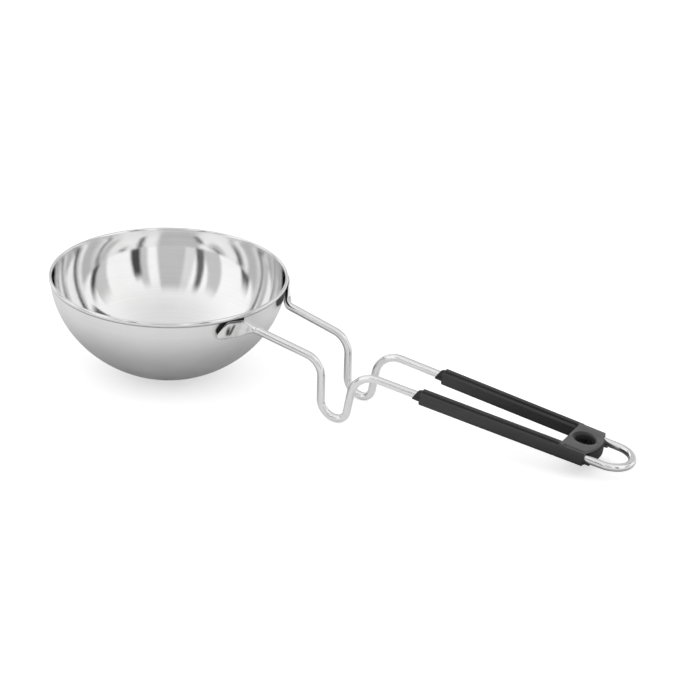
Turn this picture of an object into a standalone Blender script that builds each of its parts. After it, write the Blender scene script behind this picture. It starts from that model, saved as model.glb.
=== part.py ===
"""Small long-handled melting pot, modelled as a Blender assembly.

A round-bottomed spun steel bowl with a beaded rim hangs on one bent steel rod. The rod's two ends
are hammered into leaves and welded under the rim. Its two runs go out side by side, drop into
U-bends that work as feet, rise, crest, run through a two-legged moulded grip and close behind it in
a hanging loop. The grip is a channelled body and an inlaid cover, clamped by one screw and nut.

Frame: metres, +Z up, +X along the handle. The origin is the middle of the flat on the bowl's base,
and the pot stands level on that flat and on the two U-bends.
"""

import math

import bmesh
import bpy
from mathutils import Matrix, Vector

# ---------------------------------------------------------------- driving dimensions (metres)
GAP = 0.0003                      # clearance kept between neighbouring solids

# bowl
BOWL_RADIUS = 0.0600              # outside of the rim bead
BOWL_HEIGHT = 0.0516              # base flat to the top of the bead
BOWL_CURVE_DEPTH = 0.0526         # depth of the full outside curve, before the base is flattened
BOWL_EXPONENT = 1.90              # superellipse exponent of the outside curve
BOWL_WALL = 0.0010
BEAD_RADIUS = 0.0011
BEAD_START = math.radians(215.0)  # where the bead leaves the wall's inside, around its section
BEAD_SWEEP = math.radians(250.0)
BOWL_STEPS = 72                   # facets around the bowl
BOWL_PROFILE_POINTS = 15          # points along each side of the wall
BEAD_POINTS = 7
SLOPE_STEP = 0.00005              # height step used to measure the skin's slope

# handle rod
ROD_RADIUS = 0.0020
ROD_SIDES = 12
ROD_BEND_STEP = math.radians(9.0)
LEAF_TIP_ANGLE = math.radians(38.5)      # around the bowl, from +X
LEAF_ROOT_ANGLE = math.radians(18.5)
LEAF_NARROWS_FROM = math.radians(26.0)
LEAF_HALF_WIDTH = 0.0048
LEAF_HALF_THICKNESS = 0.0006
LEAF_TIP_LENGTH = math.radians(7.0)      # rounded end, as an angle around the bowl
LEAF_TIP_BLUNTNESS = 0.06         # share of the rounded end left off, so the tip has a small face
LEAF_TIP_HEIGHT = 0.0454
LEAF_ROOT_HEIGHT = 0.0424
LEAF_DROOP = 1.6                  # above 1, the leaf drops mostly near its root
LEAF_STATIONS = 15
ROUND_EXPONENT = 2.0              # section exponent of the round rod
LEAF_EXPONENT_GAIN = 1.6          # added where the rod is hammered flat

DROP_X = 0.0936                   # upright run in front of each foot
DROP_HALF_SPREAD = 0.0152
SHOULDER_Z = 0.0312               # where the outgoing run meets the upright run
FOOT_FRONT_HALF_SPREAD = 0.0149
FOOT_REAR_X = 0.1067              # where the foot's floor line meets the rising run
FOOT_REAR_HALF_SPREAD = 0.0144
CREST_X = 0.1116                  # where the rising run meets the grip line
ROOT_CORNER_X = 0.0586            # where the leaf turns into the outgoing run
ROOT_CORNER_HALF_SPREAD = 0.0170
ROOT_CORNER_Z = 0.0408
ROOT_BEND = 0.0040
SHOULDER_BEND = 0.0110
FOOT_BEND_FRONT = 0.0086
FOOT_BEND_REAR = 0.0052
CREST_BEND = 0.0125
LOOP_TIP_X = 0.2526               # centre of the rod at the end of the hanging loop
LOOP_LENGTH = 0.0110              # length of its curved part

# grip line: the sloping plane that the grip and the rear of the rod lie in
GRIP_X = 0.1500
GRIP_Z = 0.0231
GRIP_SLOPE = math.radians(8.87)
GRIP_HALF_SPREAD = 0.01313        # rod centre to mid-plane at GRIP_X
GRIP_TAPER = 0.0232               # spread lost per length along the grip

# grip, in its own frame: x along the rods from GRIP_X, y across, z off the grip plane
LEG_FRONT = -0.0031
LEG_REAR = 0.0842
LEG_WIDTH = 0.0062
LEG_BOTTOM = -0.0037
LEG_TOP = 0.0034
LEG_ROUNDING = 0.0017
LEG_ROUNDING_SEGMENTS = 4
CHANNEL_RADIUS = ROD_RADIUS + GAP
NOSE_LENGTH = 0.0046              # collar around each rod, ahead of the leg
NOSE_TIP_RADIUS = 0.0026
NOSE_ROOT_RADIUS = 0.0028
NOSE_SLANT = 0.0025               # how far the collar's top edge sits behind its bottom edge
HEEL_LENGTH = 0.0032              # open tongue under each rod, behind the leg
HEEL_RADIUS = 0.0028
HEEL_TOP = 0.0012
BRIDGE_HALF_WIDTH = 0.0122
BRIDGE_FRONT = 0.0710
BRIDGE_NOSE = 0.0880
BRIDGE_ARC_STEPS = 8
COVER_BOTTOM = 0.0024
COVER_BASE_TOP = 0.0033           # the strip lies level with the top of the leg
COVER_RIB_TOP = 0.0042            # and carries a narrow raised rib
COVER_RIB_WIDTH = 0.0024
COVER_RIB_ROUNDING = 0.0003
COVER_RIB_SEGMENTS = 2
COVER_RIB_SETBACK = 0.0003        # from the front of the leg
COVER_RIB_OVERLAP = 0.0020        # the rib ends this far inside the plate
COVER_TAB_LEAD = 0.0012           # tab that ties the collar's upper half to the strip
COVER_TAB_WIDTH = 0.0020
COVER_TAB_TOP = 0.0030
COVER_PLATE_TOP = 0.0043
COVER_PLATE_HALF_WIDTH = 0.0118
COVER_PLATE_INSET = 0.0007        # from the body's rounded rear edge
SCREW_X = 0.0790
CUP_RADIUS = 0.0050
CUP_CHAMFER = 0.0012                # leg of the chamfer round the mouth of the cup
CUP_WALL = 0.0010
CUP_FLOOR_TOP = 0.0001
CUP_FLOOR_BOTTOM = -0.0011
CUP_SIDES = 32
BOSS_RADIUS = 0.0056
BOSS_DRAFT = 0.0004
BOSS_BOTTOM = -0.0056

# fastener (M4)
SCREW_RADIUS = 0.0020
SCREW_HEAD_RADIUS = 0.0038
SCREW_HEAD_HEIGHT = 0.0018
SCREW_SHOULDER_RADIUS = 0.0023    # where the head's crown starts to fall
SCREW_SHOULDER_DROP = 0.0002
SCREW_EDGE_DROP = 0.0008
SCREW_CHAMFER = 0.0004
SCREW_END_INSET = 0.0002          # from the underside of the boss
SCREW_CROSS_WIDTH = 0.0009
SCREW_CROSS_LENGTH = 0.0042
SCREW_CROSS_DEPTH = 0.0010
NUT_ACROSS_FLATS = 0.0070
NUT_HEIGHT = 0.0024
HOLE_SIDES = 24
HEX_SIDES = 6

# working allowances
SINK = 0.0010                     # how far joined shapes reach into each other
OVERSHOOT = 0.0030                # how far a cutter passes outside the solid it cuts
MERGE = 0.00001


# ---------------------------------------------------------------- scene helpers
def clear_scene():
    for obj in list(bpy.data.objects):
        bpy.data.objects.remove(obj, do_unlink=True)


def make_collection(name):
    collection = bpy.data.collections.new(name)
    bpy.context.scene.collection.children.link(collection)
    return collection


def make_material(name, colour, roughness, metallic):
    material = bpy.data.materials.new(name)
    material.use_nodes = True
    shader = material.node_tree.nodes["Principled BSDF"]
    shader.inputs["Base Color"].default_value = (*colour, 1.0)
    shader.inputs["Roughness"].default_value = roughness
    shader.inputs["Metallic"].default_value = metallic
    return material


def object_from_bmesh(name, bm, collection, parent=None):
    bmesh.ops.recalc_face_normals(bm, faces=bm.faces)
    mesh = bpy.data.meshes.new(name)
    bm.to_mesh(mesh)
    bm.free()
    obj = bpy.data.objects.new(name, mesh)
    obj.parent = parent
    collection.objects.link(obj)
    return obj


def as_cutter(obj):
    obj.display_type = "WIRE"
    obj.hide_render = True
    return obj


def add_boolean(obj, other, operation):
    modifier = obj.modifiers.new(operation.title() + "_" + other.name, "BOOLEAN")
    modifier.operation = operation
    modifier.solver = "EXACT"
    modifier.object = other


def shade_round(obj, angle_degrees=35.0):
    obj.data.shade_smooth()
    obj.data.set_sharp_from_angle(angle=math.radians(angle_degrees))


# ---------------------------------------------------------------- shape helpers
def box_bmesh(x_range, y_range, z_range):
    bm = bmesh.new()
    bmesh.ops.create_cube(bm, size=1.0)
    lows = Vector((x_range[0], y_range[0], z_range[0]))
    highs = Vector((x_range[1], y_range[1], z_range[1]))
    size = highs - lows
    bmesh.ops.scale(bm, vec=size, verts=bm.verts)
    bmesh.ops.translate(bm, vec=(lows + highs) / 2.0, verts=bm.verts)
    return bm


def bevel_edges_along(bm, axis, width, segments, keep=None):
    """Round the edges that run along one axis, where keep(middle) is true."""
    edges = []
    for edge in bm.edges:
        direction = (edge.verts[1].co - edge.verts[0].co).normalized()
        middle = (edge.verts[1].co + edge.verts[0].co) / 2.0
        if abs(direction[axis]) > 0.999 and (keep is None or keep(middle)):
            edges.append(edge)
    bmesh.ops.bevel(bm, geom=edges, offset=width, segments=segments, profile=0.5, affect="EDGES")


def disc_bmesh(radius_bottom, radius_top, z_bottom, z_top, sides=HOLE_SIDES, centre=(0.0, 0.0)):
    bm = bmesh.new()
    bmesh.ops.create_cone(bm, cap_ends=True, segments=sides, radius1=radius_bottom,
                          radius2=radius_top, depth=z_top - z_bottom)
    bmesh.ops.translate(bm, vec=(centre[0], centre[1], (z_bottom + z_top) / 2.0), verts=bm.verts)
    return bm


def rod_axis_cone(radius_front, radius_rear, x_front, x_rear, sides=HOLE_SIDES):
    """A cone or cylinder lying along X."""
    bm = disc_bmesh(radius_front, radius_rear, x_front, x_rear, sides)
    bmesh.ops.rotate(bm, cent=(0.0, 0.0, 0.0), matrix=Matrix.Rotation(math.pi / 2.0, 3, "Y"),
                     verts=bm.verts)
    return bm


def plate_bmesh(outline, z_bottom, z_top):
    """A flat outline, extruded straight up."""
    bm = bmesh.new()
    face = bm.faces.new([bm.verts.new((x, y, z_bottom)) for x, y in outline])
    top = bmesh.ops.extrude_face_region(bm, geom=[face])
    raised = [item for item in top["geom"] if isinstance(item, bmesh.types.BMVert)]
    bmesh.ops.translate(bm, vec=(0.0, 0.0, z_top - z_bottom), verts=raised)
    return bm


def slice_off(bm, point, normal):
    """Cut away what lies ahead of a plane, and close the cut."""
    geometry = bm.verts[:] + bm.edges[:] + bm.faces[:]
    cut = bmesh.ops.bisect_plane(bm, geom=geometry, plane_co=point, plane_no=normal,
                                 clear_outer=True)
    rim = [item for item in cut["geom_cut"] if isinstance(item, bmesh.types.BMEdge)]
    bmesh.ops.contextual_create(bm, geom=rim)


def onto_leg(bm, side):
    """Move a shape drawn about the X axis onto one leg's slightly converging line."""
    turn = Matrix.Rotation(-side * math.atan(GRIP_TAPER), 4, "Z")
    bmesh.ops.transform(bm, matrix=turn, verts=bm.verts)
    bmesh.ops.translate(bm, vec=(0.0, side * GRIP_HALF_SPREAD, 0.0), verts=bm.verts)
    return bm


def turned_object(name, profile, steps, collection, material):
    """A solid turned about Z from a profile of (radius, height) points."""
    mesh = bpy.data.meshes.new(name)
    edges = [(index, index + 1) for index in range(len(profile) - 1)]
    mesh.from_pydata([(radius, 0.0, z) for radius, z in profile], edges, [])
    mesh.materials.append(material)
    obj = bpy.data.objects.new(name, mesh)
    collection.objects.link(obj)
    turn = obj.modifiers.new("Turn", "SCREW")
    turn.axis = "Z"
    turn.steps = steps
    turn.render_steps = steps
    turn.use_merge_vertices = True
    turn.merge_threshold = MERGE
    turn.use_smooth_shade = True
    return obj


# ---------------------------------------------------------------- bowl
def bowl_outside_radius(z):
    """Radius of the bowl's outer skin at a height above the base."""
    share = (BOWL_HEIGHT - z) / BOWL_CURVE_DEPTH
    skin_radius = BOWL_RADIUS - BEAD_RADIUS + BOWL_WALL / 2.0
    return skin_radius * max(0.0, 1.0 - share ** BOWL_EXPONENT) ** (1.0 / BOWL_EXPONENT)


def bowl_outside_normal(z):
    """Slope of the outer skin: its unit normal as (outward, up)."""
    rise = 2.0 * SLOPE_STEP
    spread = bowl_outside_radius(z + SLOPE_STEP) - bowl_outside_radius(z - SLOPE_STEP)
    length = math.hypot(rise, spread)
    return rise / length, -spread / length


def bowl_profile():
    """Points of the wall's section, from the inside centre over the bead to the outside centre."""
    bead_centre_z = BOWL_HEIGHT - BEAD_RADIUS
    bead_centre_r = BOWL_RADIUS - BEAD_RADIUS
    wall_top = bead_centre_z - BEAD_RADIUS
    flat_radius = bowl_outside_radius(0.0)
    outside = []
    for index in range(BOWL_PROFILE_POINTS):
        turn = math.pi / 2.0 * index / (BOWL_PROFILE_POINTS - 1)
        z = wall_top * (1.0 - math.cos(turn))
        outside.append((bowl_outside_radius(z), z))
    inside = []
    for radius, z in outside[1:]:
        out, up = bowl_outside_normal(z)
        inside.append((radius - BOWL_WALL * out, z - BOWL_WALL * up))
    bead = []
    for index in range(BEAD_POINTS):
        turn = BEAD_START - BEAD_SWEEP * index / (BEAD_POINTS - 1)
        bead.append((bead_centre_r + BEAD_RADIUS * math.cos(turn),
                     bead_centre_z + BEAD_RADIUS * math.sin(turn)))
    floor_inside = [(0.0, BOWL_WALL), (flat_radius, BOWL_WALL)]
    inside = [point for point in inside if point[1] > BOWL_WALL * 1.2]
    return floor_inside + inside + bead + outside[::-1] + [(0.0, 0.0)]


def build_bowl(collection, material):
    return turned_object("bowl", bowl_profile(), BOWL_STEPS, collection, material)


# ---------------------------------------------------------------- handle rod
def smooth(share):
    share = min(1.0, max(0.0, share))
    return share * share * (3.0 - 2.0 * share)


def filleted(corners):
    """Replace each inner corner (point, bend radius) by points along its arc."""
    path = [corners[0][0]]
    for before, here, after in zip(corners, corners[1:], corners[2:]):
        point, radius = here
        into = (point - before[0]).normalized()
        out = (after[0] - point).normalized()
        turn = into.angle(out)
        tangent = radius * math.tan(turn / 2.0)
        start = point - into * tangent
        inward = (out - into * into.dot(out)).normalized()
        centre = start + inward * radius
        count = max(2, math.ceil(turn / ROD_BEND_STEP))
        for index in range(count + 1):
            angle = turn * index / count
            path.append(centre - inward * radius * math.cos(angle) + into * radius * math.sin(angle))
    path.append(corners[-1][0])
    return path


def grip_line_point(x, side):
    """A point on the rod's centre line where it lies in the grip's plane."""
    along = (x - GRIP_X) / math.cos(GRIP_SLOPE)
    spread = GRIP_HALF_SPREAD - GRIP_TAPER * along
    return Vector((x, side * spread, GRIP_Z - math.tan(GRIP_SLOPE) * (x - GRIP_X)))


def leaf_stations():
    """Centre, outward normal, half width and half thickness along one leaf, tip first (+Y side)."""
    stations = []
    for index in range(LEAF_STATIONS):
        share = index / (LEAF_STATIONS - 1)
        angle = LEAF_TIP_ANGLE + (LEAF_ROOT_ANGLE - LEAF_TIP_ANGLE) * share
        z = LEAF_TIP_HEIGHT + (LEAF_ROOT_HEIGHT - LEAF_TIP_HEIGHT) * share ** LEAF_DROOP
        narrowing = smooth((LEAF_NARROWS_FROM - angle) / (LEAF_NARROWS_FROM - LEAF_ROOT_ANGLE))
        thickness = LEAF_HALF_THICKNESS + (ROD_RADIUS - LEAF_HALF_THICKNESS) * narrowing
        width = LEAF_HALF_WIDTH + (ROD_RADIUS - LEAF_HALF_WIDTH) * narrowing
        from_tip = min(1.0, (LEAF_TIP_ANGLE - angle) / LEAF_TIP_LENGTH + LEAF_TIP_BLUNTNESS)
        width *= math.sqrt(from_tip * (2.0 - from_tip))
        out, up = bowl_outside_normal(z)
        normal = Vector((out * math.cos(angle), out * math.sin(angle), up))
        radius = bowl_outside_radius(z)
        skin = Vector((radius * math.cos(angle), radius * math.sin(angle), z))
        stations.append((skin + normal * (GAP + thickness), normal, width, thickness))
    return stations


def rod_run(side):
    """Corner points of one run between its leaf and the hanging loop."""
    shoulder = Vector((DROP_X, side * DROP_HALF_SPREAD, SHOULDER_Z))
    root = Vector((ROOT_CORNER_X, side * ROOT_CORNER_HALF_SPREAD, ROOT_CORNER_Z))
    crest = grip_line_point(CREST_X, side)
    foot_front = Vector((DROP_X, side * FOOT_FRONT_HALF_SPREAD, ROD_RADIUS))
    foot_rear = Vector((FOOT_REAR_X, side * FOOT_REAR_HALF_SPREAD, ROD_RADIUS))
    return [(root, ROOT_BEND), (shoulder, SHOULDER_BEND), (foot_front, FOOT_BEND_FRONT),
            (foot_rear, FOOT_BEND_REAR), (crest, CREST_BEND)]


def hanging_loop():
    """Points of the rod's closed rear end, from the +Y run round to the -Y run."""
    tip = grip_line_point(LOOP_TIP_X, 0.0)
    reach = grip_line_point(LOOP_TIP_X - LOOP_LENGTH, 1.0).y
    start_x = LOOP_TIP_X - reach * math.cos(GRIP_SLOPE)
    centre = grip_line_point(start_x, 0.0)
    along = (tip - centre).normalized()
    points = []
    steps = math.ceil(math.pi / ROD_BEND_STEP)
    for index in range(steps + 1):
        angle = math.pi * index / steps
        points.append(centre + along * reach * math.sin(angle)
                      + Vector((0.0, reach * math.cos(angle), 0.0)))
    return points


def rod_sections():
    """Centre, frame hint, half width and half thickness of every section, leaf tip to leaf tip."""
    stations = leaf_stations()
    last_leaf = stations[-1][0]
    loop = hanging_loop()
    run = filleted([(last_leaf, 0.0)] + rod_run(1.0) + [(loop[0], 0.0)])
    half = list(stations)
    half += [(point, None, ROD_RADIUS, ROD_RADIUS) for point in run[1:-1]]
    mirrored = []
    for point, normal, width, thickness in half:
        flipped = None if normal is None else Vector((normal.x, -normal.y, normal.z))
        mirrored.append((Vector((point.x, -point.y, point.z)), flipped, width, thickness))
    rear = [(point, None, ROD_RADIUS, ROD_RADIUS) for point in loop]
    return half + rear + mirrored[::-1]


def ring_points(centre, normal, across, half_width, half_thickness):
    """One section: an oval that squares up as it flattens."""
    flatness = smooth((half_width - half_thickness) / LEAF_HALF_WIDTH)
    exponent = ROUND_EXPONENT + LEAF_EXPONENT_GAIN * flatness
    points = []
    for index in range(ROD_SIDES):
        angle = 2.0 * math.pi * index / ROD_SIDES
        along_width = math.copysign(abs(math.cos(angle)) ** (2.0 / exponent), math.cos(angle))
        along_depth = math.copysign(abs(math.sin(angle)) ** (2.0 / exponent), math.sin(angle))
        points.append(centre + across * half_width * along_width
                      + normal * half_thickness * along_depth)
    return points


def build_rod(collection, material):
    """Loft between the flat leaf sections and the round rod sections."""
    sections = rod_sections()
    centres = [section[0] for section in sections]
    bm = bmesh.new()
    rings = []
    normal = sections[0][1]
    for index, (centre, hint, half_width, half_thickness) in enumerate(sections):
        ahead = centres[min(index + 1, len(centres) - 1)]
        behind = centres[max(index - 1, 0)]
        tangent = (ahead - behind).normalized()
        if hint is not None and index < len(sections) // 2:
            normal = hint
        normal = (normal - tangent * normal.dot(tangent)).normalized()
        frame_normal = normal
        if hint is not None:
            frame_normal = (hint - tangent * hint.dot(tangent)).normalized()
        across = tangent.cross(frame_normal)
        points = ring_points(centre, frame_normal, across, half_width, half_thickness)
        rings.append([bm.verts.new(point) for point in points])
    skin_loft(bm, rings)
    rod = object_from_bmesh("handle_rod", bm, collection)
    rod.data.materials.append(material)
    shade_round(rod)
    return rod


def skin_loft(bm, rings):
    """Join each ring to the next, starting each at the point nearest to its neighbour's start."""
    for first, second in zip(rings, rings[1:]):
        count = len(first)
        offset = min(range(count), key=lambda shift: sum(
            (first[index].co - second[(index + shift) % count].co).length
            for index in range(count)))
        second[:] = second[offset:] + second[:offset]
        for index in range(count):
            after = (index + 1) % count
            bm.faces.new((first[index], first[after], second[after], second[index]))
    bm.faces.new(list(reversed(rings[0])))
    bm.faces.new(rings[-1])


# ---------------------------------------------------------------- grip
def bridge_outline(half_width, front, inset):
    """The bridge in plan: straight sides and a shallow rear arc through the nose."""
    sagitta = BRIDGE_NOSE - LEG_REAR
    radius = (BRIDGE_HALF_WIDTH * BRIDGE_HALF_WIDTH + sagitta * sagitta) / (2.0 * sagitta)
    centre_x = BRIDGE_NOSE - radius
    radius -= inset
    limit = math.asin(half_width / radius)
    outline = [(front, -half_width)]
    for index in range(BRIDGE_ARC_STEPS + 1):
        angle = -limit + 2.0 * limit * index / BRIDGE_ARC_STEPS
        outline.append((centre_x + radius * math.cos(angle), radius * math.sin(angle)))
    outline.append((front, half_width))
    return outline


def build_grip_frame(collection):
    frame = bpy.data.objects.new("grip_frame", None)
    frame.location = (GRIP_X, 0.0, GRIP_Z)
    frame.rotation_euler = (0.0, GRIP_SLOPE, 0.0)
    collection.objects.link(frame)
    return frame


def leg_solid(side):
    bm = box_bmesh((LEG_FRONT, LEG_REAR), (-LEG_WIDTH / 2.0, LEG_WIDTH / 2.0),
                   (LEG_BOTTOM, LEG_TOP))
    bevel_edges_along(bm, 0, LEG_ROUNDING, LEG_ROUNDING_SEGMENTS)
    return onto_leg(bm, side)


def nose_cone(rear):
    """Collar around the rod, cut on a slant so that its bottom edge leads."""
    front = LEG_FRONT - NOSE_LENGTH
    bm = rod_axis_cone(NOSE_TIP_RADIUS, NOSE_ROOT_RADIUS, front, rear)
    slant = Vector((NOSE_SLANT, 0.0, 2.0 * NOSE_TIP_RADIUS)).normalized()
    slice_off(bm, (front, 0.0, -NOSE_TIP_RADIUS), (-slant.z, 0.0, slant.x))
    return bm


def nose_below(side):
    """The body's half of the collar, under the rod."""
    bm = nose_cone(LEG_FRONT + SINK)
    slice_off(bm, (0.0, 0.0, -GAP / 2.0), (0.0, 0.0, 1.0))
    return onto_leg(bm, side)


def nose_above(side):
    """The cover's half of the collar, over the rod."""
    bm = nose_cone(LEG_FRONT - GAP)
    slice_off(bm, (0.0, 0.0, GAP / 2.0), (0.0, 0.0, -1.0))
    return onto_leg(bm, side)


def heel_below(side):
    """Open tongue under the rod behind the leg, falling away to the rear."""
    bm = rod_axis_cone(HEEL_RADIUS, HEEL_RADIUS, LEG_REAR - SINK, LEG_REAR + HEEL_LENGTH)
    slant = Vector((HEEL_LENGTH, 0.0, -HEEL_RADIUS - HEEL_TOP)).normalized()
    slice_off(bm, (LEG_REAR, 0.0, HEEL_TOP), (-slant.z, 0.0, slant.x))
    return onto_leg(bm, side)


def channel_cutter(side, rear):
    """The round-bottomed channel that the rod lies in."""
    front = LEG_FRONT - NOSE_LENGTH - OVERSHOOT
    bm = rod_axis_cone(CHANNEL_RADIUS, CHANNEL_RADIUS, front, rear)
    return onto_leg(bm, side)


def slot_cutter(side):
    """Opens the channel upwards, so that the rod can be laid in."""
    bm = box_bmesh((LEG_FRONT - NOSE_LENGTH - OVERSHOOT, LEG_REAR + OVERSHOOT),
                   (-CHANNEL_RADIUS, CHANNEL_RADIUS), (0.0, LEG_TOP + OVERSHOOT))
    return onto_leg(bm, side)


def on_screw_axis(radius_bottom, radius_top, z_bottom, z_top, sides=HOLE_SIDES):
    return disc_bmesh(radius_bottom, radius_top, z_bottom, z_top, sides, (SCREW_X, 0.0))


def build_grip_body(parts, cutters, frame, material):
    body = object_from_bmesh("grip_body", leg_solid(1.0), parts, frame)
    block = bridge_outline(BRIDGE_HALF_WIDTH, BRIDGE_FRONT, 0.0)
    joined = [
        ("leg_right", leg_solid(-1.0)),
        ("bridge_block", plate_bmesh(block, LEG_BOTTOM, LEG_TOP)),
        ("boss", on_screw_axis(BOSS_RADIUS - BOSS_DRAFT, BOSS_RADIUS, BOSS_BOTTOM,
                               LEG_BOTTOM + SINK, CUP_SIDES)),
        ("nose_below_left", nose_below(1.0)),
        ("nose_below_right", nose_below(-1.0)),
        ("heel_left", heel_below(1.0)),
        ("heel_right", heel_below(-1.0)),
    ]
    for name, bm in joined:
        add_boolean(body, as_cutter(object_from_bmesh(name, bm, cutters, frame)), "UNION")
    recess = bridge_outline(COVER_PLATE_HALF_WIDTH + GAP, BRIDGE_FRONT - SINK, -OVERSHOOT)
    cup_hole = CUP_RADIUS + CUP_WALL + GAP
    screw_hole = SCREW_RADIUS + GAP
    pocket = (NUT_ACROSS_FLATS / 2.0 + GAP) / math.cos(math.pi / HEX_SIDES)
    rear = LEG_REAR + OVERSHOOT + HEEL_LENGTH
    cut = [
        ("channel_left", channel_cutter(1.0, rear)),
        ("channel_right", channel_cutter(-1.0, rear)),
        ("slot_left", slot_cutter(1.0)),
        ("slot_right", slot_cutter(-1.0)),
        ("plate_recess", plate_bmesh(recess, COVER_BOTTOM - GAP, LEG_TOP + OVERSHOOT)),
        ("cup_recess", on_screw_axis(cup_hole, cup_hole, CUP_FLOOR_BOTTOM - GAP,
                                     LEG_TOP + OVERSHOOT, CUP_SIDES)),
        ("screw_hole", on_screw_axis(screw_hole, screw_hole, BOSS_BOTTOM - OVERSHOOT, LEG_TOP)),
        ("nut_pocket", on_screw_axis(pocket, pocket, BOSS_BOTTOM - OVERSHOOT,
                                     BOSS_BOTTOM + NUT_HEIGHT + GAP, HEX_SIDES)),
    ]
    for name, bm in cut:
        add_boolean(body, as_cutter(object_from_bmesh(name, bm, cutters, frame)), "DIFFERENCE")
    body.data.materials.append(material)
    shade_round(body)
    return body


def cover_base(side):
    """Strip that closes the slot over the rod."""
    half = CHANNEL_RADIUS - GAP
    bm = box_bmesh((LEG_FRONT, LEG_REAR), (-half, half), (COVER_BOTTOM, COVER_BASE_TOP))
    return onto_leg(bm, side)


def cover_tab(side):
    """Ties the collar's upper half to the strip."""
    half = COVER_TAB_WIDTH / 2.0
    bm = box_bmesh((LEG_FRONT - COVER_TAB_LEAD, LEG_FRONT + SINK), (-half, half),
                   (COVER_BOTTOM - MERGE, COVER_TAB_TOP))
    return onto_leg(bm, side)


def cover_rib(side):
    """Raised rib along the middle of the strip."""
    half = COVER_RIB_WIDTH / 2.0
    bm = box_bmesh((LEG_FRONT + COVER_RIB_SETBACK, BRIDGE_FRONT + COVER_RIB_OVERLAP),
                   (-half, half), (COVER_BOTTOM + GAP, COVER_RIB_TOP))
    bevel_edges_along(bm, 0, COVER_RIB_ROUNDING, COVER_RIB_SEGMENTS,
                      lambda middle: middle.z > COVER_BASE_TOP)
    return onto_leg(bm, side)


def cup_chamfer_cutter():
    """A cone that starts inside the empty cup and leaves a 45 degree chamfer at its mouth."""
    return on_screw_axis(CUP_RADIUS - SINK, CUP_RADIUS + CUP_CHAMFER + OVERSHOOT,
                         COVER_PLATE_TOP - CUP_CHAMFER - SINK, COVER_PLATE_TOP + OVERSHOOT,
                         CUP_SIDES)


def build_grip_cover(parts, cutters, frame, material):
    outline = bridge_outline(COVER_PLATE_HALF_WIDTH, BRIDGE_FRONT, COVER_PLATE_INSET)
    cover = object_from_bmesh("grip_cover", plate_bmesh(outline, COVER_BOTTOM, COVER_PLATE_TOP),
                              parts, frame)
    cup = CUP_RADIUS + CUP_WALL
    joined = [
        ("base_left", cover_base(1.0)),
        ("base_right", cover_base(-1.0)),
        ("rib_left", cover_rib(1.0)),
        ("rib_right", cover_rib(-1.0)),
        ("nose_above_left", nose_above(1.0)),
        ("nose_above_right", nose_above(-1.0)),
        ("tab_left", cover_tab(1.0)),
        ("tab_right", cover_tab(-1.0)),
        ("cup", on_screw_axis(cup, cup, CUP_FLOOR_BOTTOM, COVER_BOTTOM + SINK, CUP_SIDES)),
    ]
    for name, bm in joined:
        add_boolean(cover, as_cutter(object_from_bmesh(name, bm, cutters, frame)), "UNION")
    screw_hole = SCREW_RADIUS + GAP
    cut = [
        ("nose_channel_left", channel_cutter(1.0, LEG_FRONT - GAP / 2.0)),
        ("nose_channel_right", channel_cutter(-1.0, LEG_FRONT - GAP / 2.0)),
        ("cup_inside", on_screw_axis(CUP_RADIUS, CUP_RADIUS, CUP_FLOOR_TOP,
                                     COVER_PLATE_TOP + OVERSHOOT, CUP_SIDES)),
        ("cup_chamfer", cup_chamfer_cutter()),
        ("cover_screw_hole", on_screw_axis(screw_hole, screw_hole, CUP_FLOOR_BOTTOM - OVERSHOOT,
                                           CUP_FLOOR_TOP + OVERSHOOT)),
    ]
    for name, bm in cut:
        add_boolean(cover, as_cutter(object_from_bmesh(name, bm, cutters, frame)), "DIFFERENCE")
    cover.data.materials.append(material)
    shade_round(cover)
    return cover


# ---------------------------------------------------------------- clamp screw and nut
def build_screw(parts, cutters, frame, material):
    head_bottom = CUP_FLOOR_TOP + GAP
    head_top = head_bottom + SCREW_HEAD_HEIGHT
    shank_end = BOSS_BOTTOM + SCREW_END_INSET
    profile = [(0.0, head_top), (SCREW_SHOULDER_RADIUS, head_top - SCREW_SHOULDER_DROP),
               (SCREW_HEAD_RADIUS, head_top - SCREW_EDGE_DROP), (SCREW_HEAD_RADIUS, head_bottom),
               (SCREW_RADIUS, head_bottom), (SCREW_RADIUS, shank_end + SCREW_CHAMFER),
               (SCREW_RADIUS - SCREW_CHAMFER, shank_end), (0.0, shank_end)]
    screw = turned_object("clamp_screw", profile, HOLE_SIDES, parts, material)
    screw.parent = frame
    screw.location = (SCREW_X, 0.0, 0.0)
    half = SCREW_CROSS_LENGTH / 2.0
    thin = SCREW_CROSS_WIDTH / 2.0
    depth = (head_top - SCREW_CROSS_DEPTH, head_top + OVERSHOOT)
    for name, along, across in (("cross_a", half, thin), ("cross_b", thin, half)):
        bm = box_bmesh((SCREW_X - along, SCREW_X + along), (-across, across), depth)
        add_boolean(screw, as_cutter(object_from_bmesh(name, bm, cutters, frame)), "DIFFERENCE")
    return screw


def build_nut(parts, cutters, frame, material):
    corner = NUT_ACROSS_FLATS / 2.0 / math.cos(math.pi / HEX_SIDES)
    nut_top = BOSS_BOTTOM + NUT_HEIGHT
    bm = on_screw_axis(corner, corner, BOSS_BOTTOM, nut_top, HEX_SIDES)
    nut = object_from_bmesh("clamp_nut", bm, parts, frame)
    hole = SCREW_RADIUS + GAP
    bore = on_screw_axis(hole, hole, BOSS_BOTTOM - OVERSHOOT, nut_top + OVERSHOOT)
    add_boolean(nut, as_cutter(object_from_bmesh("nut_bore", bore, cutters, frame)), "DIFFERENCE")
    nut.data.materials.append(material)
    return nut


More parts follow.
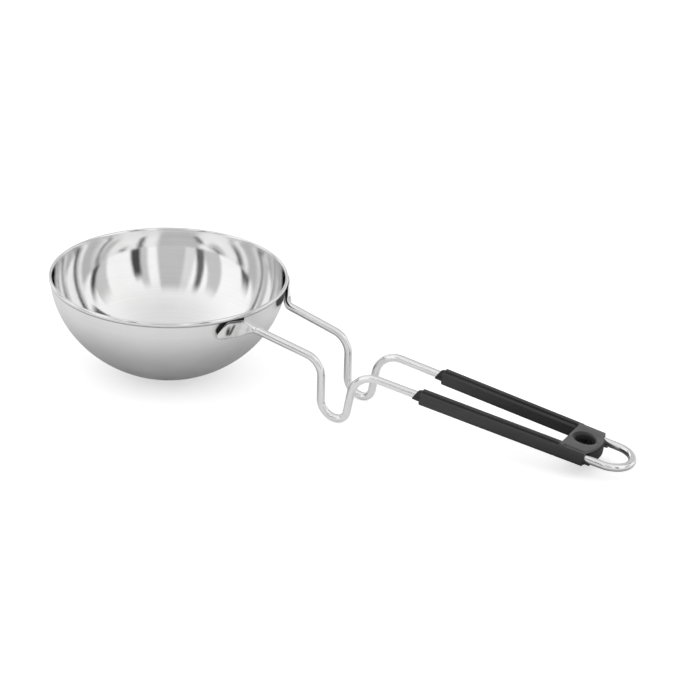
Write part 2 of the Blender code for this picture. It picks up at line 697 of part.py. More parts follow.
# ---------------------------------------------------------------- assembly
def main():
    clear_scene()
    parts = make_collection("melting_pot")
    cutters = make_collection("cutters")
    satin_steel = make_material("bowl_steel", (0.62, 0.62, 0.63), 0.28, 1.0)
    bright_steel = make_material("rod_steel", (0.72, 0.72, 0.73), 0.14, 1.0)
    bakelite_body = make_material("grip_body_bakelite", (0.035, 0.035, 0.037), 0.48, 0.0)
    bakelite_cover = make_material("grip_cover_bakelite", (0.055, 0.055, 0.057), 0.55, 0.0)
    black_steel = make_material("screw_black_steel", (0.05, 0.05, 0.05), 0.45, 1.0)
    nut_steel = make_material("nut_steel", (0.45, 0.45, 0.46), 0.35, 1.0)
    build_bowl(parts, satin_steel)
    build_rod(parts, bright_steel)
    frame = build_grip_frame(parts)
    build_grip_body(parts, cutters, frame, bakelite_body)
    build_grip_cover(parts, cutters, frame, bakelite_cover)
    build_screw(parts, cutters, frame, black_steel)
    build_nut(parts, cutters, frame, nut_steel)


main()
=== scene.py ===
"""Looks for the small long-handled melting pot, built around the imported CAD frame.

The bowl, the rod and the two grip mouldings are built again here at a finer resolution from the
same dimensions, and stand for their CAD nodes. The screw and nut are the CAD nodes with better
materials. Everything is in metres in the CAD's frame: +X along the handle, +Z up, origin under
the bowl.
"""

import math

import bmesh
import bpy
from mathutils import Matrix, Vector


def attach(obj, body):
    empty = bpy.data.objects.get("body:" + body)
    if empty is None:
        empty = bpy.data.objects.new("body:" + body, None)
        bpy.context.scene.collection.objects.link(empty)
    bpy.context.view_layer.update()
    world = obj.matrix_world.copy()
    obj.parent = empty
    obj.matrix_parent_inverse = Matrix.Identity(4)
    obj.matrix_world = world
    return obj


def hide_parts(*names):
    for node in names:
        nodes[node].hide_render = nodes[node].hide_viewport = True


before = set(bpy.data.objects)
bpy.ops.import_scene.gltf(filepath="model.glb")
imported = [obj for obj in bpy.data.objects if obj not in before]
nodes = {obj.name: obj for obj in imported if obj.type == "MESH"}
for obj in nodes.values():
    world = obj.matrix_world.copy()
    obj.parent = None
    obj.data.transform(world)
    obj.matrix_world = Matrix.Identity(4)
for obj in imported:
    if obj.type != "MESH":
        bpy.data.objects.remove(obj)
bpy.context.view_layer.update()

# ---------------------------------------------------------------- dimensions shared with the CAD
# bowl: the skin is a superellipse, and BEAD is half the rolled bead's height
BOWL_R, BOWL_H = 0.0600, 0.0516
BOWL_DEPTH, BOWL_POWER = 0.0526, 1.90
WALL, BEAD = 0.0010, 0.0011
BEAD_BOTTOM = BOWL_H - 2.0 * BEAD
# rod, and the leaves at its ends: angles round the bowl, half width and half thickness
ROD_R = 0.0020
LEAF_TIP, LEAF_ROOT, LEAF_NARROWS = math.radians(38.5), math.radians(18.5), math.radians(26.0)
LEAF_HALF_W, LEAF_HALF_T = 0.0048, 0.0006
LEAF_TIP_Z, LEAF_ROOT_Z, LEAF_DROOP = 0.0454, 0.0424, 1.6
LEAF_CROP, LEAF_CORNER = math.radians(5.5), math.radians(2.5)
# the rod's line through the grip, and how its two runs converge
GRIP_X, GRIP_Z, GRIP_SLOPE = 0.1500, 0.0231, math.radians(8.87)
GRIP_SPREAD, GRIP_TAPER = 0.01313, 0.0232
LOOP_TIP_X, LOOP_LEN = 0.2526, 0.0110
# grip, in GRIP_FRAME: X runs back along the rod and Z is up from the rod's centre
LEG_FRONT, LEG_REAR, LEG_W = -0.0031, 0.0842, 0.0062
LEG_BOTTOM, LEG_TOP = -0.0037, 0.0034
NOSE_LEN, NOSE_TIP_R, NOSE_ROOT_R, NOSE_SLANT = 0.0046, 0.0026, 0.0028, 0.0025
HEEL_LEN, HEEL_R, HEEL_TOP = 0.0032, 0.0028, 0.0012
BRIDGE_HALF_W, BRIDGE_FRONT, BRIDGE_NOSE = 0.0122, 0.0710, 0.0880
COVER_BOTTOM, COVER_STRIP_TOP, COVER_RIB_TOP = 0.0024, 0.0033, 0.0042
PLATE_TOP, PLATE_HALF_W, PLATE_INSET = 0.0043, 0.0118, 0.0007
SCREW_X, CUP_R, CUP_WALL, CUP_CHAMFER = 0.0790, 0.0050, 0.0010, 0.0012
CUP_FLOOR, CUP_BOTTOM = 0.0001, -0.0011
BOSS_R, BOSS_BOTTOM = 0.0056, -0.0056
SCREW_HOLE_R = 0.0023
POCKET_HALF_FLATS, POCKET_DEPTH = 0.0038, 0.0028
RIB_HALF_W, RIB_BOTTOM = 0.0012, 0.0027
TAB_HALF_W, TAB_LEN, TAB_TOP = 0.0010, 0.0012, 0.0030
# how far each kind of edge is rounded
LEG_ROUND, LEG_END_ROUND, NOSE_ROUND, BRIDGE_ROUND = 0.0017, 0.0006, 0.00035, 0.0009
PLATE_ROUND, RIB_ROUND, RIB_END_ROUND = 0.0004, 0.0004, 0.0003
SKIN_GAP = 0.0001                 # rod leaf to bowl skin
SEAM = 0.00012                    # joint between the two grip mouldings
ROD_HOLE_R = ROD_R + 0.0001
PAST = 0.003                      # how far a cutter runs past what it cuts
OVERLAP = 0.001                   # how far a joined shape runs into its neighbour
UV_PER_METRE = 10.0

GRIP_FRAME = (Matrix.Translation((GRIP_X, 0.0, GRIP_Z))
              @ Matrix.Rotation(GRIP_SLOPE, 4, "Y"))


# ---------------------------------------------------------------- small helpers
def link(obj):
    bpy.context.scene.collection.objects.link(obj)
    return obj


def mesh_object(name, bm, smooth_angle=None):
    bmesh.ops.recalc_face_normals(bm, faces=bm.faces)
    mesh = bpy.data.meshes.new(name)
    bm.to_mesh(mesh)
    bm.free()
    obj = link(bpy.data.objects.new(name, mesh))
    if smooth_angle is not None:
        mesh.shade_smooth()
        mesh.set_sharp_from_angle(angle=math.radians(smooth_angle))
    return obj


def smooth(share):
    share = min(1.0, max(0.0, share))
    return share * share * (3.0 - 2.0 * share)


class Nodes:
    """Short-hand for building a node tree."""

    def __init__(self, tree):
        self.tree = tree

    def add(self, kind, inputs=None, **settings):
        node = self.tree.nodes.new(kind)
        for key, value in settings.items():
            setattr(node, key, value)
        for key, value in (inputs or {}).items():
            self.feed(node.inputs[key], value)
        return node

    def feed(self, socket, value):
        if isinstance(value, bpy.types.NodeSocket):
            self.tree.links.new(value, socket)
        elif isinstance(value, bpy.types.Node):
            self.tree.links.new(value.outputs[0], socket)
        else:
            socket.default_value = value

    def math(self, operation, a, b=0.0):
        node = self.add("ShaderNodeMath", operation=operation)
        self.feed(node.inputs[0], a)
        self.feed(node.inputs[1], b)
        return node.outputs[0]

    def length(self, a, b):
        return self.math("SQRT", self.math("ADD", self.math("MULTIPLY", a, a),
                                           self.math("MULTIPLY", b, b)))

    def ranged(self, value, low, high, to_low=0.0, to_high=1.0):
        node = self.add("ShaderNodeMapRange", interpolation_type="SMOOTHSTEP")
        for index, item in enumerate((value, low, high, to_low, to_high)):
            self.feed(node.inputs[index], item)
        return node.outputs[0]

    def mix(self, factor, a, b):
        node = self.add("ShaderNodeMix", data_type="RGBA")
        self.feed(node.inputs[0], factor)
        self.feed(node.inputs[6], a)
        self.feed(node.inputs[7], b)
        return node.outputs[2]

    def noise(self, vector, scale, detail=3.0, roughness=0.55):
        node = self.add("ShaderNodeTexNoise")
        self.feed(node.inputs["Vector"], vector)
        self.feed(node.inputs["Scale"], scale)
        node.inputs["Detail"].default_value = detail
        node.inputs["Roughness"].default_value = roughness
        return node.outputs[0]

    def stretched(self, vector, scale):
        node = self.add("ShaderNodeMapping")
        self.feed(node.inputs["Vector"], vector)
        node.inputs["Scale"].default_value = scale
        return node.outputs[0]

    def bump(self, height, strength, distance):
        node = self.add("ShaderNodeBump")
        self.feed(node.inputs["Height"], height)
        node.inputs["Strength"].default_value = strength
        node.inputs["Distance"].default_value = distance
        return node.outputs[0]


def new_material(name):
    material = bpy.data.materials.new(name)
    material.use_nodes = True
    kit = Nodes(material.node_tree)
    return material, kit, material.node_tree.nodes["Principled BSDF"]


def grey(value, warm=0.0):
    return (value * (1.0 + warm), value, value * (1.0 - warm), 1.0)


# ---------------------------------------------------------------- materials
# weld tint on the bowl round the leaves, each patch with painted shade at its core, where leaf and
# bowl meet: (angle, half angle, height, half height) of each patch
WELD_TINT_AND_SHADE = (
    (-31.0, 7.6, 0.0455, 0.0055),
    (31.0, 7.6, 0.0455, 0.0055),
    (14.0, 11.5, 0.0477, 0.0042),
    (-24.5, 1.6, 0.0482, 0.0032),
)


def heat_tint(kit, position):
    """Distance to the nearest patch of weld tint and painted shade, 0 at its centre and 1 at its
    edge.
    """
    parts = kit.add("ShaderNodeSeparateXYZ", {0: position})
    x, y, z = parts.outputs[0], parts.outputs[1], parts.outputs[2]
    angle = kit.math("ARCTAN2", y, x)
    nearest = None
    for centre, half, height, half_height in WELD_TINT_AND_SHADE:
        along = kit.math("DIVIDE", kit.math("SUBTRACT", angle, math.radians(centre)),
                         math.radians(half))
        across = kit.math("DIVIDE", kit.math("SUBTRACT", z, height), half_height)
        reach = kit.length(along, across)
        nearest = reach if nearest is None else kit.math("MINIMUM", nearest, reach)
    return nearest


def spun_steel(name, tone, roughness, ring_strength, anisotropy, tinted_and_shaded=False):
    """Steel spun on a lathe: fine rings round the axis, a few scratches, soft blotches.

    With the weld tint switched on it has the welds' tint with painted shade at each patch's core,
    and painted shade in the hollow under the bead."""
    material, kit, shader = new_material(name)
    coords = kit.add("ShaderNodeTexCoord")
    position = coords.outputs["Object"]
    parts = kit.add("ShaderNodeSeparateXYZ", {0: position})
    uv = kit.add("ShaderNodeSeparateXYZ", {0: coords.outputs["UV"]})
    ring_space = kit.add("ShaderNodeCombineXYZ", {
        0: kit.math("MULTIPLY", parts.outputs[0], 9.0),
        1: kit.math("MULTIPLY", parts.outputs[1], 9.0),
        2: kit.math("MULTIPLY", uv.outputs[1], 900.0)}).outputs[0]
    fine = kit.noise(ring_space, 4.0, 4.0, 0.7)
    broad = kit.noise(ring_space, 0.35, 2.0)
    blotch = kit.noise(position, 26.0, 3.0)
    scratch_space = kit.stretched(position, (60.0, 950.0, 420.0))
    scratch = kit.ranged(kit.noise(scratch_space, 1.0, 2.0), 0.66, 0.74)
    shade = kit.math("ADD", kit.math("MULTIPLY", fine, 0.30),
                     kit.math("ADD", kit.math("MULTIPLY", broad, 0.30),
                              kit.math("MULTIPLY", blotch, 0.40)))
    colour = kit.mix(kit.ranged(shade, 0.32, 0.68), grey(tone * 0.93, 0.004),
                     grey(min(1.0, tone * 1.06), -0.002))
    rough = kit.ranged(shade, 0.30, 0.70, roughness * 0.86, roughness * 1.16)
    rough = kit.math("ADD", rough, kit.math("MULTIPLY", scratch, 0.05))
    height = kit.math("ADD", kit.math("MULTIPLY", fine, 0.8), kit.math("MULTIPLY", scratch, -0.4))
    if tinted_and_shaded:
        wobble = kit.math("SUBTRACT", kit.noise(position, 330.0, 2.0), 0.5)
        reach = kit.math("ADD", heat_tint(kit, position), kit.math("MULTIPLY", wobble, 0.35))
        # the outer ring of each patch gets the weld tint, and its core is painted shade, nearly
        # black
        blue = kit.ranged(reach, 1.40, 1.02)
        dark = kit.ranged(reach, 1.10, 0.94)
        colour = kit.mix(kit.math("MULTIPLY", blue, 0.30), colour, (0.33, 0.30, 0.27, 1.0))
        colour = kit.mix(kit.math("MULTIPLY", dark, 0.97), colour, (0.010, 0.009, 0.010, 1.0))
        rough = kit.math("ADD", rough, kit.math("MULTIPLY", dark, 0.25))
        # painted shade in the hollow under the bead
        crevice_painted_shade = kit.ranged(parts.outputs[2], BEAD_BOTTOM - 0.00075, BEAD_BOTTOM - 0.00010)
        colour = kit.mix(kit.math("MULTIPLY", crevice_painted_shade, 0.75), colour, grey(0.16))
    kit.feed(shader.inputs["Base Color"], colour)
    kit.feed(shader.inputs["Roughness"], rough)
    shader.inputs["Metallic"].default_value = 1.0
    shader.inputs["Anisotropic"].default_value = anisotropy
    shader.inputs["Anisotropic Rotation"].default_value = 0.25
    tangent = kit.add("ShaderNodeTangent", direction_type="RADIAL", axis="Z")
    kit.feed(shader.inputs["Tangent"], tangent.outputs[0])
    kit.feed(shader.inputs["Normal"], kit.bump(height, ring_strength, 0.0002))
    return material


def drawn_steel(name):
    """Polished drawn rod: long fine lines along it, dull hammer marks where it is flattened."""
    material, kit, shader = new_material(name)
    coords = kit.add("ShaderNodeTexCoord")
    uv = coords.outputs["UV"]
    lines = kit.noise(kit.stretched(uv, (46.0, 9.0, 1.0)), 1.0, 4.0, 0.65)
    patches = kit.noise(kit.stretched(uv, (2.0, 38.0, 1.0)), 1.0, 2.0)
    leaf = kit.add("ShaderNodeAttribute", attribute_name="leaf").outputs["Fac"]
    leaf_shade_marks = kit.add("ShaderNodeAttribute", attribute_name="leaf_shade_marks").outputs["Fac"]
    position = coords.outputs["Object"]
    dents = kit.noise(position, 420.0, 2.0)
    colour = kit.mix(kit.ranged(lines, 0.35, 0.65), grey(0.90), grey(0.97))
    colour = kit.mix(kit.math("MULTIPLY", leaf, 0.50), colour, grey(0.86, 0.008))
    # painted shade and dark marks on the leaves, nearly black
    colour = kit.mix(kit.math("MULTIPLY", leaf_shade_marks, 0.93), colour, grey(0.022))
    rough = kit.ranged(patches, 0.35, 0.65, 0.12, 0.19)
    rough = kit.math("ADD", rough, kit.math("MULTIPLY", leaf, 0.10))
    rough = kit.math("ADD", rough, kit.math("MULTIPLY", leaf_shade_marks, 0.20))
    height = kit.math("ADD", kit.math("MULTIPLY", lines, 0.25),
                      kit.math("MULTIPLY", kit.math("MULTIPLY", dents, leaf), 0.5))
    kit.feed(shader.inputs["Base Color"], colour)
    kit.feed(shader.inputs["Roughness"], rough)
    shader.inputs["Metallic"].default_value = 1.0
    kit.feed(shader.inputs["Normal"], kit.bump(height, 0.05, 0.0002))
    return material


def bakelite(name, tone, plate_tone, roughness):
    """Dark thermoset moulding: matt skin with a very fine grain, faint flow marks, few pale specks.

    The plate gets its own tone, painted much paler on the cover as a painted reflection, and there
    is painted shade round the cup and on the two noses."""
    material, kit, shader = new_material(name)
    position = kit.add("ShaderNodeTexCoord").outputs["Object"]
    parts = kit.add("ShaderNodeSeparateXYZ", {0: position})
    along = kit.math("DIVIDE", kit.math("SUBTRACT", parts.outputs[0], GRIP_X),
                     math.cos(GRIP_SLOPE))
    from_axis = kit.math("SUBTRACT", along, SCREW_X)
    radius = kit.length(from_axis, parts.outputs[1])
    plate_painted_light = kit.ranged(along, BRIDGE_FRONT - 0.0006, BRIDGE_FRONT + 0.0010)
    near_cup = kit.ranged(radius, CUP_R + CUP_CHAMFER + 0.0002, CUP_R + 0.0004)
    nose = kit.ranged(along, LEG_FRONT + 0.0002, LEG_FRONT - 0.0006)
    shaded = kit.math("MAXIMUM", near_cup, nose)
    grain = kit.noise(position, 2600.0, 3.0, 0.6)
    flow = kit.noise(kit.stretched(position, (22.0, 160.0, 160.0)), 1.0, 3.0)
    speck = kit.ranged(kit.noise(position, 900.0, 1.0), 0.70, 0.78)
    shade = kit.math("ADD", kit.math("MULTIPLY", flow, 0.65), kit.math("MULTIPLY", grain, 0.35))
    uneven = kit.ranged(shade, 0.35, 0.65)
    colour = kit.mix(uneven, grey(tone * 0.82), grey(tone * 1.18))
    colour = kit.mix(kit.math("MULTIPLY", speck, 0.35), colour, grey(tone * 2.2, 0.02))
    # painted reflection: the plate is given its own tone, much paler on the cover
    colour = kit.mix(plate_painted_light, colour, kit.mix(uneven, grey(plate_tone * 0.86),
                                             grey(plate_tone * 1.14)))
    # painted shade round the cup and on the two noses
    colour = kit.mix(kit.math("MULTIPLY", shaded, 0.85), colour, grey(tone * 0.25))
    rough = kit.ranged(shade, 0.32, 0.68, roughness - 0.06, roughness + 0.07)
    rough = kit.math("ADD", rough, kit.math("MULTIPLY", shaded, 0.12))
    height = kit.math("ADD", grain, kit.math("MULTIPLY", flow, 0.6))
    kit.feed(shader.inputs["Base Color"], colour)
    kit.feed(shader.inputs["Roughness"], rough)
    shader.inputs["IOR"].default_value = 1.54
    kit.feed(shader.inputs["Normal"], kit.bump(height, 0.16, 0.00015))
    return material


def worn_steel(name, tone, roughness):
    """Plated or blackened steel of the screw and nut, worn brighter in places."""
    material, kit, shader = new_material(name)
    position = kit.add("ShaderNodeTexCoord").outputs["Object"]
    wear = kit.noise(position, 700.0, 4.0, 0.65)
    colour = kit.mix(kit.ranged(wear, 0.42, 0.66), grey(tone), grey(tone * 2.4, 0.01))
    kit.feed(shader.inputs["Base Color"], colour)
    kit.feed(shader.inputs["Roughness"], kit.ranged(wear, 0.35, 0.65, roughness - 0.08,
                                                    roughness + 0.08))
    shader.inputs["Metallic"].default_value = 1.0
    kit.feed(shader.inputs["Normal"], kit.bump(wear, 0.10, 0.0001))
    return material


# ---------------------------------------------------------------- bowl
def skin_radius(z):
    """Radius of the sheet's outer face at a height."""
    share = (BOWL_H - z) / BOWL_DEPTH
    return (BOWL_R - BEAD + WALL / 2.0) * max(0.0, 1.0 - share ** BOWL_POWER) ** (1.0 / BOWL_POWER)


def skin_normal(z):
    """(outward, upward) parts of the outer face's normal."""
    step = 0.00005
    spread = skin_radius(z + step) - skin_radius(z - step)
    length = math.hypot(2.0 * step, spread)
    return 2.0 * step / length, -spread / length


def bowl_sections():
    """Three open profiles that share their end points: inside, bead and outside."""
    curve_steps = 64
    wall_top = BEAD_BOTTOM - 0.00005
    outside, inside = [], []
    for index in range(curve_steps + 1):
        turn = math.pi / 2.0 * index / curve_steps
        z = 0.00003 + wall_top * (1.0 - math.cos(turn))
        radius = skin_radius(z)
        out, up = skin_normal(z)
        outside.append((radius, z))
        inside.append((radius - WALL * out, z - WALL * up))
    flat = skin_radius(0.0)
    inside = [point for point in inside if point[1] > WALL * 1.12]
    inside = [(0.0, WALL), (flat * 0.55, WALL), (flat * 0.80, WALL * 1.015)] + inside
    outside = [(0.0, 0.0), (flat * 0.60, 0.0), (flat * 0.93, 0.0)] + outside[1:]
    # the sheet runs up, rolls outwards over the top and curls back in under the bead
    inner_r = inside[-1][0] + 0.00010
    half_w = (BOWL_R - inner_r) / 2.0
    bead_r, bead_z = BOWL_R - half_w, BOWL_H - BEAD
    bead = [inside[-1]]
    curl, curl_steps = 262.0, 28
    for index in range(curl_steps + 1):
        turn = math.radians(180.0 - curl * index / curl_steps)
        bead.append((bead_r + half_w * math.cos(turn), bead_z + BEAD * math.sin(turn)))
    lip_r, lip_z = outside[-1]
    bead.append((lip_r + 0.00004, BEAD_BOTTOM + 0.00030))
    bead.append((lip_r, lip_z))
    return inside, bead, outside[::-1]


def build_bowl(materials):
    """The three sections turned round the axis, each with its own material."""
    steps = 224
    bm = bmesh.new()
    uv_layer = bm.loops.layers.uv.new("UVMap")
    previous = None
    travelled = 0.0
    for section, profile in enumerate(bowl_sections()):
        for index, (radius, z) in enumerate(profile):
            if previous is not None and index == 0:
                continue
            if radius == 0.0:
                ring = [bm.verts.new((0.0, 0.0, z))]
            else:
                ring = [bm.verts.new((radius * math.cos(2.0 * math.pi * turn / steps),
                                      radius * math.sin(2.0 * math.pi * turn / steps), z))
                        for turn in range(steps)]
            if previous is not None:
                start = travelled
                travelled += math.hypot(radius - place[0], z - place[1])
                for turn in range(steps):
                    after = (turn + 1) % steps
                    if len(previous) == 1:
                        corners = (previous[0], ring[after], ring[turn])
                        heights = (start, travelled, travelled)
                    elif len(ring) == 1:
                        corners = (previous[turn], previous[after], ring[0])
                        heights = (start, start, travelled)
                    else:
                        corners = (previous[turn], previous[after], ring[after], ring[turn])
                        heights = (start, start, travelled, travelled)
                    face = bm.faces.new(corners)
                    face.material_index = section
                    for loop, height in zip(face.loops, heights):
                        loop[uv_layer].uv = (turn / steps, height * UV_PER_METRE)
            previous, place = ring, (radius, z)
    bowl = mesh_object("bowl_shell", bm, 50.0)
    for material in materials:
        bowl.data.materials.append(material)
    return bowl


# ---------------------------------------------------------------- rod
BEND_STEP = math.radians(4.0)
LONGEST_STEP = 0.004
ROD_SIDES = 28


def filleted(corners):
    """A path through (point, radius) corners, each rounded by an arc."""
    path = [corners[0][0]]
    for before, here, after in zip(corners, corners[1:], corners[2:]):
        point, radius = here
        into = (point - before[0]).normalized()
        out = (after[0] - point).normalized()
        turn = into.angle(out)
        start = point - into * radius * math.tan(turn / 2.0)
        inward = (out - into * into.dot(out)).normalized()
        centre = start + inward * radius
        count = max(2, math.ceil(turn / BEND_STEP))
        for index in range(count + 1):
            angle = turn * index / count
            path.append(centre - inward * radius * math.cos(angle)
                        + into * radius * math.sin(angle))
    path.append(corners[-1][0])
    return path


def grip_line(x, side):
    """Where a run of rod is inside the grip; side 0 is midway between the runs."""
    spread = GRIP_SPREAD - GRIP_TAPER * (x - GRIP_X) / math.cos(GRIP_SLOPE)
    return Vector((x, side * spread, GRIP_Z - math.tan(GRIP_SLOPE) * (x - GRIP_X)))


def leaf_stations():
    """(centre, normal, half widths above and below, half thickness, share) from the tip inwards."""
    count = 46
    stations = []
    for index in range(count):
        share = index / (count - 1)
        angle = LEAF_TIP + (LEAF_ROOT - LEAF_TIP) * share
        z = LEAF_TIP_Z + (LEAF_ROOT_Z - LEAF_TIP_Z) * share ** LEAF_DROOP
        narrowing = smooth((LEAF_NARROWS - angle) / (LEAF_NARROWS - LEAF_ROOT))
        thickness = LEAF_HALF_T + (ROD_R - LEAF_HALF_T) * narrowing
        width = LEAF_HALF_W + (ROD_R - LEAF_HALF_W) * narrowing
        # the tip is cropped on a slant, so that its lower corner leads
        crop = min(1.0, (LEAF_TIP - angle) / LEAF_CROP)
        corner = min(1.0, (LEAF_TIP - angle) / LEAF_CORNER + 0.05)
        lower = width * math.sqrt(corner * (2.0 - corner))
        upper = width * (-0.62 + 1.62 * crop * (1.30 - 0.30 * crop))
        tips = (max(upper, 0.15 * width - lower), lower)
        out, up = skin_normal(z)
        radius = skin_radius(z)
        normal = Vector((out * math.cos(angle), out * math.sin(angle), up))
        skin = Vector((radius * math.cos(angle), radius * math.sin(angle), z))
        stations.append((skin + normal * (SKIN_GAP + thickness), normal, tips, thickness, share))
    return stations


def rod_path():
    """(corner, bend radius) from the leaf's root, down to the U-bend on the floor, to the grip."""
    root = Vector((0.0586, 0.0170, 0.0408))
    shoulder = Vector((0.0936, 0.0152, 0.0312))
    foot_front = Vector((0.0936, 0.0149, ROD_R))
    foot_rear = Vector((0.1067, 0.0144, ROD_R))
    return [(root, 0.0040), (shoulder, 0.0110), (foot_front, 0.0086), (foot_rear, 0.0052),
            (grip_line(0.1116, 1.0), 0.0125)]


def hanging_loop():
    """Half a turn behind the grip, from the far run to the near one."""
    tip = grip_line(LOOP_TIP_X, 0.0)
    reach = grip_line(LOOP_TIP_X - LOOP_LEN, 1.0).y
    centre = grip_line(LOOP_TIP_X - reach * math.cos(GRIP_SLOPE), 0.0)
    along = (tip - centre).normalized()
    count = math.ceil(math.pi / BEND_STEP)
    points = []
    for index in range(count + 1):
        angle = math.pi * index / count
        points.append(centre + along * reach * math.sin(angle)
                      + Vector((0.0, reach * math.cos(angle), 0.0)))
    return points


def subdivided(path, longest):
    """The same path with points added, so that no step is longer than this."""
    points = [path[0]]
    for point in path[1:]:
        gap = (point - points[-1]).length
        count = max(1, math.ceil(gap / longest))
        start = points[-1]
        for index in range(1, count + 1):
            points.append(start.lerp(point, index / count))
    return points


def leaf_relief(share, across):
    """How far the outer face of the leaf is dressed: tip facet, dished pad and weld dimples."""
    facet = smooth((0.20 + 0.10 * across - share) / 0.16) * 0.00036
    pad = smooth((share - 0.40) / 0.07) * smooth((0.78 - share) / 0.10)
    dish = -0.00009 * pad * max(0.0, 1.0 - (across / 0.85) ** 2)
    dimple = 0.0
    for place, sideways in ((0.30, -0.05), (0.84, 0.20)):
        spread = ((share - place) / 0.035) ** 2 + ((across - sideways) / 0.40) ** 2
        dimple -= 0.00022 * math.exp(-spread)
    return dish + dimple - facet


def leaf_stain(share, across):
    """Painted shade on the leaf along the cropped tip and the upper edge, where it stands off the
    bowl, and in the root dimple, with dark marks in a V.
    """
    left = 1.5 * math.exp(-((share - 0.30 + 0.015 * across) / 0.050) ** 2)
    left *= smooth((0.55 - across) / 0.3) * smooth((across + 0.75) / 0.3)
    right = 1.5 * math.exp(-((share - 0.40 - 0.055 * across) / 0.032) ** 2)
    right *= smooth((0.75 - across) / 0.3) * smooth((across + 0.75) / 0.3)
    spot = math.exp(-((share - 0.84) / 0.040) ** 2 - ((across - 0.10) / 0.45) ** 2)
    upper_rim = smooth((across - 0.74) / 0.16) * smooth((0.72 - share) / 0.14)
    lower_rim = smooth((-0.90 - across) / 0.08) * smooth((0.30 - share) / 0.1)
    return min(1.0, max(left, right, spot * 1.2, upper_rim, lower_rim * 0.7))


def mirrored(vector):
    return None if vector is None else Vector((vector.x, -vector.y, vector.z))


def rod_sections():
    """The whole rod from one leaf's tip to the other's, each item as leaf_stations gives it."""
    stations = leaf_stations()
    loop = hanging_loop()
    run = filleted([(stations[-1][0], 0.0)] + rod_path() + [(loop[0], 0.0)])
    half = stations + [(point, None, (ROD_R, ROD_R), ROD_R, None)
                       for point in subdivided(run, LONGEST_STEP)[1:-1]]
    other_half = [(mirrored(point), mirrored(normal), widths, thickness, share)
                  for point, normal, widths, thickness, share in half]
    return (half + [(point, None, (ROD_R, ROD_R), ROD_R, None) for point in loop]
            + other_half[::-1])


def build_rod(material):
    """A tube along the rod, whose section is squarer and carries relief, painted shade and dark
    marks on the leaves.
    """
    sections = rod_sections()
    centres = [section[0] for section in sections]
    bm = bmesh.new()
    uv_layer = bm.loops.layers.uv.new("UVMap")
    leaf_layer = bm.verts.layers.float.new("leaf")
    leaf_shade_marks_layer = bm.verts.layers.float.new("leaf_shade_marks")
    rings = []
    travelled = [0.0]
    normal = sections[0][1]
    for index, (centre, hint, half_widths, half_t, share) in enumerate(sections):
        ahead = centres[min(index + 1, len(centres) - 1)]
        behind = centres[max(index - 1, 0)]
        tangent = (ahead - behind).normalized()
        if index:
            travelled.append(travelled[-1] + (centre - centres[index - 1]).length)
        if hint is not None and index < len(sections) // 2:
            normal = hint
        normal = (normal - tangent * normal.dot(tangent)).normalized()
        facing = normal
        if hint is not None:
            facing = (hint - tangent * hint.dot(tangent)).normalized()
        across = tangent.cross(facing)
        flatness = smooth((max(half_widths) - half_t) / LEAF_HALF_W)
        power = 2.0 / (2.0 + 1.6 * flatness)
        ring = []
        for corner in range(ROD_SIDES):
            angle = 2.0 * math.pi * corner / ROD_SIDES
            c = math.copysign(abs(math.cos(angle)) ** power, math.cos(angle))
            s = math.copysign(abs(math.sin(angle)) ** power, math.sin(angle))
            depth = half_t * s
            reach = half_widths[0] * c
            leaf = leaf_shade_marks = 0.0
            if share is not None:
                sideways = math.copysign(c, across.z * c)
                middle = (half_widths[0] - half_widths[1]) / 2.0
                reach = middle + (half_widths[0] + half_widths[1]) / 2.0 * sideways
                reach = math.copysign(reach, reach * across.z)
                leaf = flatness
                if s > 0.0:
                    depth += leaf_relief(share, sideways) * min(1.0, s * 1.4) * flatness
                    # painted shade along the leaf's edges and in its root dimple, with dark marks
                    # in a V
                    leaf_shade_marks = leaf_stain(share, sideways) * flatness
            vert = bm.verts.new(centre + across * reach + facing * depth)
            vert[leaf_layer] = leaf
            vert[leaf_shade_marks_layer] = leaf_shade_marks
            ring.append(vert)
        rings.append(ring)
    for index in range(len(rings) - 1):
        first, second = rings[index], rings[index + 1]
        # start each ring at the corner that leaves the tube least twisted
        offset = min(range(ROD_SIDES), key=lambda shift: sum(
            (first[item].co - second[(item + shift) % ROD_SIDES].co).length
            for item in range(0, ROD_SIDES, 4)))
        second[:] = second[offset:] + second[:offset]
        for item in range(ROD_SIDES):
            after = (item + 1) % ROD_SIDES
            face = bm.faces.new((first[item], first[after], second[after], second[item]))
            for loop_, u, v in zip(face.loops, (item, item + 1, item + 1, item),
                                   (index, index, index + 1, index + 1)):
                loop_[uv_layer].uv = (u / ROD_SIDES, travelled[v] * UV_PER_METRE)
    bm.faces.new(list(reversed(rings[0])))
    bm.faces.new(rings[-1])
    rod = mesh_object("handle_rod_drawn", bm, 50.0)
    rod.data.materials.append(material)
    return rod


# ---------------------------------------------------------------- grip
def box_bmesh(x_range, y_range, z_range):
    bm = bmesh.new()
    bmesh.ops.create_cube(bm, size=1.0)
    lows = Vector((x_range[0], y_range[0], z_range[0]))
    highs = Vector((x_range[1], y_range[1], z_range[1]))
    bmesh.ops.scale(bm, vec=highs - lows, verts=bm.verts)
    bmesh.ops.translate(bm, vec=(lows + highs) / 2.0, verts=bm.verts)
    return bm


def round_edges(bm, width, segments, keep):
    """Bevel the edges that keep(middle, direction) picks."""
    edges = []
    for edge in bm.edges:
        direction = (edge.verts[1].co - edge.verts[0].co).normalized()
        if keep((edge.verts[1].co + edge.verts[0].co) / 2.0, direction):
            edges.append(edge)
    bmesh.ops.bevel(bm, geom=edges, offset=width, segments=segments, profile=0.5, affect="EDGES")


